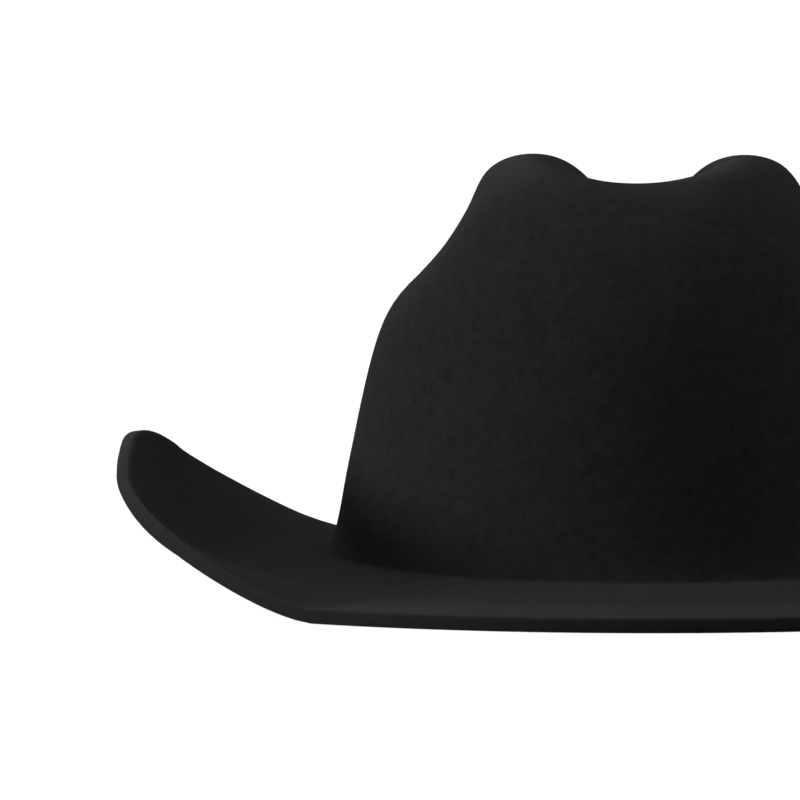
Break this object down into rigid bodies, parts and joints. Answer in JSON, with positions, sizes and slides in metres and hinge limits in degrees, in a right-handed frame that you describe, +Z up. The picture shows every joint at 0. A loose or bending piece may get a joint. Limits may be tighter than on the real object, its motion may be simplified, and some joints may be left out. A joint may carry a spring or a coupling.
{
  "type": "cowboy hat",
  "caption": "Western felt hat with a creased crown, a brim curled up at both sides, a leather sweatband and a satin lining",
  "frame": {"origin": "on the surface the hat rests on, under the middle of the hat", "axes": "+Z is up, -Y is the way the wearer faces, +X is the wearer's left"},
  "size_m": [0.2922, 0.3638, 0.1208],
  "materials": {
    "felt": "soft brushed nap, matt black",
    "leather": "smooth, slightly shiny",
    "reed": "matt",
    "tape": "plain weave",
    "thread": "twisted, matt",
    "dark_thread": "twisted, matt",
    "ribbon": "ribbed, low sheen",
    "satin": "satin sheen",
    "piping": "twisted, low sheen",
    "clear_film": "clear, glossy",
    "card": "uncoated card"
  },
  "bodies": {
    "root": {"felt_body": "felt", "sweatband": "leather", "sweatband_reed": "reed", "reed_tape": "tape", "sweatband_back_patch": "tape", "sweatband_seam_stitches": "thread", "reed_stitches": "thread", "brim_stitches": "dark_thread", "sweatband_bow": "ribbon", "lining_side": "satin", "lining_tip": "satin", "lining_seam_piping": "piping", "tip_shield": "clear_film", "size_tag": "card"}
  },
  "joints": []
}
